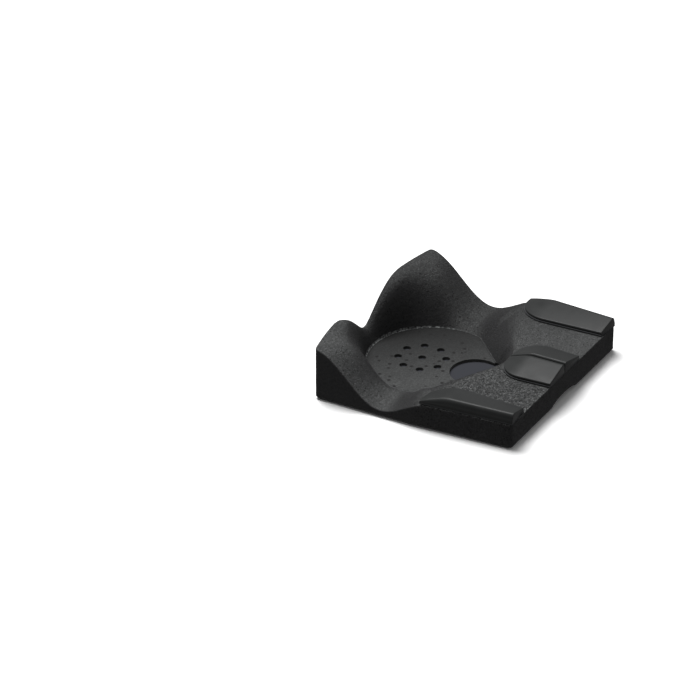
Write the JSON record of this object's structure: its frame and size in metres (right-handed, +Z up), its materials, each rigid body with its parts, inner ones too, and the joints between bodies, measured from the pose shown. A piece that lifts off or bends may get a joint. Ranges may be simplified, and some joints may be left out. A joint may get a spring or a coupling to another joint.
{
  "type": "contoured seat cushion base",
  "caption": "Contoured bead-foam seat cushion base with a pelvic well, perforated floor, round opening, leg troughs and removable wedge pads.",
  "frame": {"origin": "middle of the footprint, at the flat underside of the block", "axes": "+X across the seat to the sitter's left, the front edge faces -Y and the raised lobes are at +Y, +Z up"},
  "size_m": [0.432, 0.406, 0.1029],
  "materials": {
    "bead_foam": "moulded black bead foam, coarse bead grain",
    "floor_foam": "moulded black bead foam, smoother pressed skin",
    "hook_tape": "black woven hook tape",
    "loop_tape": "black brushed loop tape",
    "pad_flange": "dark grey cut foam-rubber sheet, matt",
    "pad_core": "black closed-cell foam",
    "pad_cap": "smooth moulded integral skin, satin dark grey"
  },
  "bodies": {
    "base": {"foam_block": "bead_foam", "floor_panel": "floor_foam", "hook_tape_side_left": "hook_tape", "hook_tape_side_right": "hook_tape", "hook_tape_mid_left": "hook_tape", "hook_tape_mid_right": "hook_tape"},
    "pad_side_left": {"cap_side_left": "pad_cap", "core_side_left": "pad_core", "flange_side_left": "pad_flange", "loop_tape_side_left": "loop_tape"},
    "pad_side_right": {"cap_side_right": "pad_cap", "core_side_right": "pad_core", "flange_side_right": "pad_flange", "loop_tape_side_right": "loop_tape"},
    "pad_mid_left": {"cap_mid_left": "pad_cap", "core_mid_left": "pad_core", "flange_mid_left": "pad_flange", "loop_tape_mid_left": "loop_tape"},
    "pad_mid_right": {"cap_mid_right": "pad_cap", "core_mid_right": "pad_core", "flange_mid_right": "pad_flange", "loop_tape_mid_right": "loop_tape"}
  },
  "joints": [
    {"name": "lift_side_left", "type": "slide", "parent": "base", "child": "pad_side_left", "axis": [0, 0, 1], "range_m": [0, 0.04]},
    {"name": "lift_side_right", "type": "slide", "parent": "base", "child": "pad_side_right", "axis": [0, 0, 1], "range_m": [0, 0.04]},
    {"name": "lift_mid_left", "type": "slide", "parent": "base", "child": "pad_mid_left", "axis": [0, 0, 1], "range_m": [0, 0.04]},
    {"name": "lift_mid_right", "type": "slide", "parent": "base", "child": "pad_mid_right", "axis": [0, 0, 1], "range_m": [0, 0.04]}
  ]
}
